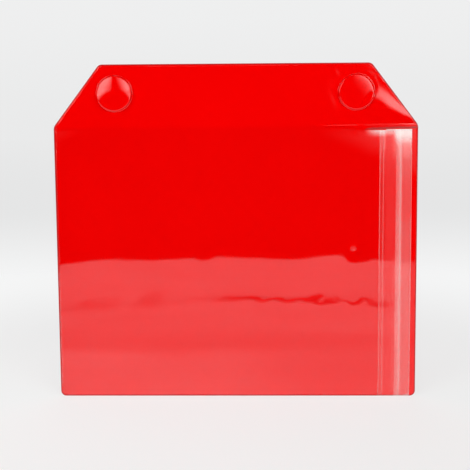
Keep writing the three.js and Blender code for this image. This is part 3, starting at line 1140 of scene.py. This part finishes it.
class POCKET_OT_front_zip(bpy.types.Operator):
    """The front zip tape: its welded strip and its free part with the groove"""

    bl_idname = "pocket.front_zip"
    bl_label = "Front zip tape"

    def execute(self, context):
        window = context.scene.pocket_foils.window_foil / MM
        zipper = context.scene.pocket_zip
        self.seam_strip(zipper, window)
        self.groove_tape(zipper, window)
        return {"FINISHED"}

    def seam_strip(self, zipper, window):
        """The strip that is welded over the window's right edge."""
        tape = zipper.tape_foil / MM
        right = FLAP_HINGE - STRIP_LEFT
        section = [(STRIP_LEFT + x, level / STRIP_FULL, 0) for x, level in (
            *STRIP_FRONT, (right - 0.3, STRIP_FULL), (right, STRIP_FULL), (right, 0),
        )]

        def place(x, level, _, z):
            return (x + ZIP_SHIFT, -(window_level(x, z, window) + level * tape), z)

        bm = loft(section, tape_rows(TAPE_BOTTOM, STRIP_TOP), place)
        note_gap(bm, math.inf, STRIP_TOP)
        # The strip turns a little milkier towards the top, a painted reflection, and whiter near the cover's
        # edge, partly weld haze and partly a painted highlight.
        material = tape_plastic(
            "seam_plastic",
            lambda f, x, z, gap: 0.012
            + 0.1 * f.band(x, STRIP_LEFT - 1.1, STRIP_LEFT - 0.3, 0.2)
            + 0.08 * f.band(x, STRIP_LEFT + 2.3, STRIP_LEFT + 2.9, 0.2)
            + 0.02 * f.ease(z, CREASE - 60, CREASE - 12)
            + 0.34 * weld_haze_and_highlight(f, z)
            + 0.1 * f.ease(gap, *TAPE_EDGE),
        )
        piece = finished(bm, "seam_strip", material, ("zip_seam_strip",), 50)
        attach(piece, "pocket")

    def groove_tape(self, zipper, window):
        """The free part, in two halves that open from the middle."""
        tape, ridge, jaw = zipper.tape_foil / MM, zipper.ridge / MM, zipper.jaw_depth / MM
        front = [(FLAP_HINGE + x, tape + share * ridge, 0) for x, share in TAPE_FRONT]
        rear = [(RIB_X + x, 0, share) for x, share in JAW]
        rear += [(RIB_X - x, 0, share) for x, share in reversed(JAW)]
        section = front + [(TAPE_RIGHT, 0, 0)] + rear + [(FLAP_HINGE, 0, 0)]

        def place(x, level, reach, z):
            base = window_level(x, z, window)
            return (x + ZIP_SHIFT, -(base + level - reach * jaw * rise(x, z)), z)

        material = tape_plastic(
            "groove_plastic",
            tape_milk((
                (FLAP_HINGE - 3, RIB_X - 5.5, 0.016),
                (RIB_X - 5.5, RIB_X - 3.9, 0.008),
                (RIB_X - 3.9, RIB_X - 2.2, 0.06),
                (RIB_X - 2.2, RIB_X - 0.6, 0.085),
                (RIB_X - 0.6, RIB_X + 1.1, 0.14),
                (RIB_X + 1.1, TAPE_RIGHT + 1, 0.032),
            )),
        )
        halves = (
            ("groove_tape_upper", TAPE_MIDDLE, TAPE_TOP, RISE_TOP, -MOUTH_RUN),
            ("groove_tape_lower", TAPE_BOTTOM, TAPE_MIDDLE, RISE_BOTTOM, MOUTH_RUN),
        )
        for name, low, high, fixed, run in halves:
            bm = loft(section, tape_rows(low, high), place)
            note_gap(bm, TAPE_RIGHT + ZIP_SHIFT, TAPE_TOP)
            piece = finished(bm, name, material, ("zip_groove_tape",), 40)
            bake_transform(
                piece, "pocket", "mouth_flap",
                start=(0, 0, fixed * MM), end=(0, 0, (fixed + run) * MM),
            )


class POCKET_OT_back_zip(bpy.types.Operator):
    """The back zip tape with its rib"""

    bl_idname = "pocket.back_zip"
    bl_label = "Back zip tape"

    def execute(self, context):
        tape = context.scene.pocket_zip.tape_foil / MM
        left, right = RIB_LOW[0], RIB_HIGH[0] - BACK_TAPE_SHORT
        tall = -RIB_LOW[1] - BACK_FOIL - tape
        front = [(left, 0.6, 0), (left + 0.2, 1, 0), (RIB_X - RIB_FOOT, 1, 0)]
        front += [(RIB_X - x, 1, share) for x, share in RIB]
        front += [(RIB_X + x, 1, share) for x, share in reversed(RIB)]
        front += [(RIB_X + RIB_FOOT, 1, 0), (right - 0.2, 1, 0), (right, 0.6, 0)]
        section = front + [(right, 0.02, 0), (left, 0.02, 0)]

        def place(x, level, reach, z):
            base = BACK_FOIL - curl(x, z)
            return (x + ZIP_SHIFT, -(base + level * tape + reach * tall * rise(RIB_X, z)), z)

        bm = loft(section, tape_rows(TAPE_BOTTOM, TAPE_TOP), place)
        note_gap(bm, right + ZIP_SHIFT, TAPE_TOP)
        material = tape_plastic(
            "rib_plastic",
            tape_milk((
                (left - 2, RIB_X - RIB_FOOT - 0.9, 0.003),
                (RIB_X - RIB_FOOT - 0.9, RIB_X + RIB_FOOT, 0.05),
                (RIB_X + RIB_FOOT, right + 1, 0.03),
            )),
        )
        piece = finished(bm, "rib_tape", material, ("zip_rib_tape",), 40)
        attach(piece, "pocket")
        return {"FINISHED"}


# Stage

CAMERA_PLACE = (0.030898, -1.092037, 0.025437)
CAMERA_PITCH, CAMERA_YAW, CAMERA_ROLL = -0.141, -0.0292, -0.008
FOCAL_PIXELS, FRAME_PIXELS, SENSOR = 1204, 470, 36
NEAREST, FURTHEST = 0.01, 50
# Light crosses up to ten clear faces on its way in and as many on its way out.
CLEAR_FACES = 24

# The floor, and how bright the camera sees it: its tone in front, how that changes far
# off, at the rim and at the right in front, and how much of it the lamps light.
FLOOR_RADIUS, FLOOR_GAP = 4, 0.0002
PALE = (0.995, 0.998, 1, 1)
TONE, FAR_DIM, RIM_LIFT, RIGHT_DIM, LAMPLIT = 1.01, 0.22, 0.03, 0.05, 0.3
# The wall above it: its tone, and how much lighter it is above the horizon.
WALL_TONE, SKY_LIFT, HORIZON = 0.825, 0.04, 0.06

# What the foils mirror is a table that ends at its reach and glows for reflections only. A fold crosses it
# at a share of that reach, as a dark line of painted shade in a dim band: (start, end, softness) about the
# fold.
SEAM_REACH = 0.585
SEAM_LINE, SEAM_DARK = (-0.019, 0.017, 0.011), 0.9
SEAM_BAND, BLOTCH_DARK = (-0.03, 0.045, 0.06), 0.1
# The line runs from the middle to the zip, and left of it there are two dark spots of painted shade.
LINE_LEFT, LINE_RIGHT = (-0.1, 0.02), (0.195, 0.175)
DARK_SPOTS, DARK_SPOT_SHADE = ((-0.215, -0.17, 0.03), (-0.142, -0.116, 0.02)), 0.28
# The table is dimmer in a band in front of the object, and brighter under its left.
DIM_BAND, DIM = (-0.27, -0.19, 0.08), 0.15
BRIGHT_Y, BRIGHT_X, BRIGHT = (-0.2, -0.15), (0.07, -0.02), 0.26
TABLE_RIM = 0.006

# (name, azimuth from the front, elevation, distance, width and height in metres, and
# the setting for its brightness).
LAMPS = (
    ("lamp_left", -33, 16.2, 2.69, 1.8, 2, "lamp"),
    ("lamp_right", 26, 14.7, 2.69, 2, 2.1, "lamp"),
    ("lamp_top", 0, 66, 1.45, 1, 0.6, "top_lamp"),
    ("lamp_rear", 180, 38, 1.6, 1.4, 0.9, "rear_lamp"),
)
LAMP_TARGET = Vector((0, 0, -0.08))
LAMP_COLOUR = (1, 0.985, 0.95, 1)
LAMP_BORDER = 0.36


class POCKET_OT_stage(bpy.types.Operator):
    """The floor, the softboxes, the room and the camera"""

    bl_idname = "pocket.stage"
    bl_label = "Stage"

    def execute(self, context):
        scene = context.scene
        settings = scene.pocket_stage
        self.floor(settings)
        self.lamps(settings)
        self.room(scene, settings)
        self.camera(scene)
        scene.view_settings.view_transform = "Standard"
        scene.cycles.transparent_max_bounces = CLEAR_FACES
        return {"FINISHED"}

    def floor(self, settings):
        """A pale table that keeps the shadow, on a pale floor."""
        bm = bmesh.new()
        bmesh.ops.create_circle(bm, cap_ends=True, segments=96, radius=FLOOR_RADIUS)
        bmesh.ops.translate(bm, vec=(0, 0, BOTTOM * MM - FLOOR_GAP), verts=bm.verts)
        mesh = mesh_of(bm, "floor")
        added("floor", mesh)
        material, f = new_finish("pale_floor")
        place = f.node("TexCoord", out="Object")
        x, y, _ = f.split(place)
        reach = (x * x + y * y) ** 0.5
        white = f.node("BsdfDiffuse", None, {"Color": (0.92, 0.92, 0.92, 1)})
        seen = self.seen_table(f, x, y, reach, white)
        mirrored = self.mirrored_table(f, place, reach, settings.table_reach)
        f.surface(f.mixed(f.ray("Glossy"), f.mixed(f.ray("Camera"), white, seen), mirrored))
        mesh.materials.append(material)

    def seen_table(self, f, x, y, reach, white):
        """The table as the camera sees it, with the object's shadow close to it."""
        tone = TONE - FAR_DIM * f.ease(y, -0.1, 1.5) + RIM_LIFT * f.ease(y, 1.5, FLOOR_RADIUS)
        # Painted shade: the table is darker at the right in front.
        tone = tone - RIGHT_DIM * f.ease(x, -0.25, 0.35) * f.ease(y, 0.4, -0.1)
        return f.mixed(f.ease(reach, 0.75, 0.3) * LAMPLIT, f.emission(tone, PALE), white)

    def mirrored_table(self, f, place, reach, edge):
        """The table as the foils mirror it, a glow for reflections only: clouded, with painted shade at a
        fold and in dim places.
        """
        x, y, _ = f.split(place)
        seam = edge * SEAM_REACH

        def clouded(scale, detail, roughness=0.5):
            return f.noise(f.stretched(place, scale), 1, detail, roughness)

        def about_seam(low, high, soft):
            return f.band(reach, seam + low, seam + high, soft)

        clouds = clouded((7, 14, 1), 3, 0.6)
        blotches = f.ease(clouded((11, 7, 1), 1), 0.42, 0.6)
        broken = f.ease(clouded((26, 9, 1), 2), 0.25, 0.5)
        # Painted shade: a dark line at the fold, and dark spots and blotches in a band about it.
        line = about_seam(*SEAM_LINE) * broken
        dark_spots = f.band(x, *DARK_SPOTS[0]) + f.band(x, *DARK_SPOTS[1])
        shade = SEAM_DARK * line * f.ease(x, *LINE_LEFT) * f.ease(x, *LINE_RIGHT)
        dim = DARK_SPOT_SHADE * dark_spots + BLOTCH_DARK * blotches
        shade = shade + about_seam(*SEAM_BAND) * dim
        inner = f.band(y, *DIM_BAND) * DIM
        bright = f.ease(y, *BRIGHT_Y) * f.ease(x, *BRIGHT_X) * BRIGHT
        level = (0.8 + 0.4 * clouds) * (1 - shade - inner + bright)
        table = f.ease(reach, edge + TABLE_RIM, edge - TABLE_RIM) * level
        return f.emission(table.larger(0))

    def lamps(self, settings):
        """Softboxes that face the object."""
        for name, azimuth, elevation, distance, width, height, level in LAMPS:
            a, e = math.radians(azimuth), math.radians(elevation)
            place = LAMP_TARGET + distance * Vector(
                (math.sin(a) * math.cos(e), -math.cos(a) * math.cos(e), math.sin(e))
            )
            light = bpy.data.lights.new(name, "AREA")
            light.shape = "RECTANGLE"
            light.size, light.size_y = width, height
            light.energy = getattr(settings, level) * math.pi * width * height
            self.soften(light)
            lamp = added(name, light)
            lamp.location = place
            lamp.rotation_mode = "QUATERNION"
            lamp.rotation_quaternion = (LAMP_TARGET - place).to_track_quat("-Z", "Y")
            lamp.visible_camera = False

    def soften(self, light):
        """Dims a softbox towards its border."""
        light.use_nodes = True
        f = Finish(light.node_tree)
        glow = 1
        for axis in f.split(f.node("NewGeometry", out="Parametric"))[:2]:
            glow = glow * f.ease(axis, 0, LAMP_BORDER) * f.ease(axis, 1, 1 - LAMP_BORDER)
        f.node("OutputLight", None, {"Surface": f.emission(glow, LAMP_COLOUR)})

    def room(self, scene, settings):
        """A pale background, a dark room in reflections, and an even fill."""
        world = bpy.data.worlds.new("room")
        world.use_nodes = True
        scene.world = world
        f = Finish(world.node_tree)
        up = f.split(f.node("TexCoord", out="Generated"))[2]
        camera_ray, glossy_ray = f.ray("Camera"), f.ray("Glossy")
        pale = WALL_TONE + SKY_LIFT * f.ease(up, -HORIZON, HORIZON)
        strength = camera_ray * pale + (1 - camera_ray) * (1 - glossy_ray) * settings.fill
        shader = f.node("Background", None, {"Color": PALE, "Strength": strength})
        f.node("OutputWorld", None, {"Surface": shader})

    def camera(self, scene):
        """The photograph's camera."""
        data = bpy.data.cameras.new("camera")
        data.sensor_width = SENSOR
        data.lens = SENSOR * FOCAL_PIXELS / FRAME_PIXELS
        data.clip_start, data.clip_end = NEAREST, FURTHEST
        camera = added("camera", data)
        camera.matrix_world = (
            Matrix.Translation(CAMERA_PLACE)
            @ Matrix.Rotation(-CAMERA_YAW, 4, "Z")
            @ Matrix.Rotation(math.pi / 2 + CAMERA_PITCH, 4, "X")
            @ Matrix.Rotation(CAMERA_ROLL, 4, "Z")
        )
        scene.camera = camera


class POCKET_PT_panel(bpy.types.Panel):
    """Lists the pieces' sizes, colours and operators"""

    bl_label = "Display pocket"
    bl_space_type = "VIEW_3D"
    bl_region_type = "UI"
    bl_category = "Pocket"

    def draw(self, context):
        for title, group, operators in SECTIONS:
            box = self.layout.box()
            box.label(text=title)
            settings = getattr(context.scene, group)
            for name in settings.__annotations__:
                box.prop(settings, name)
            for operator in operators:
                box.operator(operator.bl_idname)


SECTIONS = (
    ("Foils", "pocket_foils", (POCKET_OT_red_sheets, POCKET_OT_window)),
    ("Magnets", "pocket_magnets", (POCKET_OT_magnets,)),
    ("Zip", "pocket_zip", (POCKET_OT_front_zip, POCKET_OT_back_zip)),
    ("Stage", "pocket_stage", (POCKET_OT_stage,)),
)
GROUPS = {
    "pocket_foils": PocketFoils,
    "pocket_magnets": PocketMagnets,
    "pocket_zip": PocketZip,
    "pocket_stage": PocketStage,
}
OPERATORS = [operator for _, _, operators in SECTIONS for operator in operators]


def register():
    """Registers the classes and hangs the settings on the scene."""
    for kind in [*GROUPS.values(), *OPERATORS, POCKET_PT_panel]:
        bpy.utils.register_class(kind)
    for name, kind in GROUPS.items():
        setattr(bpy.types.Scene, name, bpy.props.PointerProperty(type=kind))


def unregister():
    """Takes the settings and the classes away again."""
    for name in GROUPS:
        delattr(bpy.types.Scene, name)
    for kind in reversed([*GROUPS.values(), *OPERATORS, POCKET_PT_panel]):
        bpy.utils.unregister_class(kind)


def main():
    """Builds every piece and the stage."""
    register()
    for operator in OPERATORS:
        group, name = operator.bl_idname.split(".")
        if getattr(getattr(bpy.ops, group), name)() != {"FINISHED"}:
            raise RuntimeError(f"{operator.bl_label} did not finish")


if __name__ == "__main__":
    main()
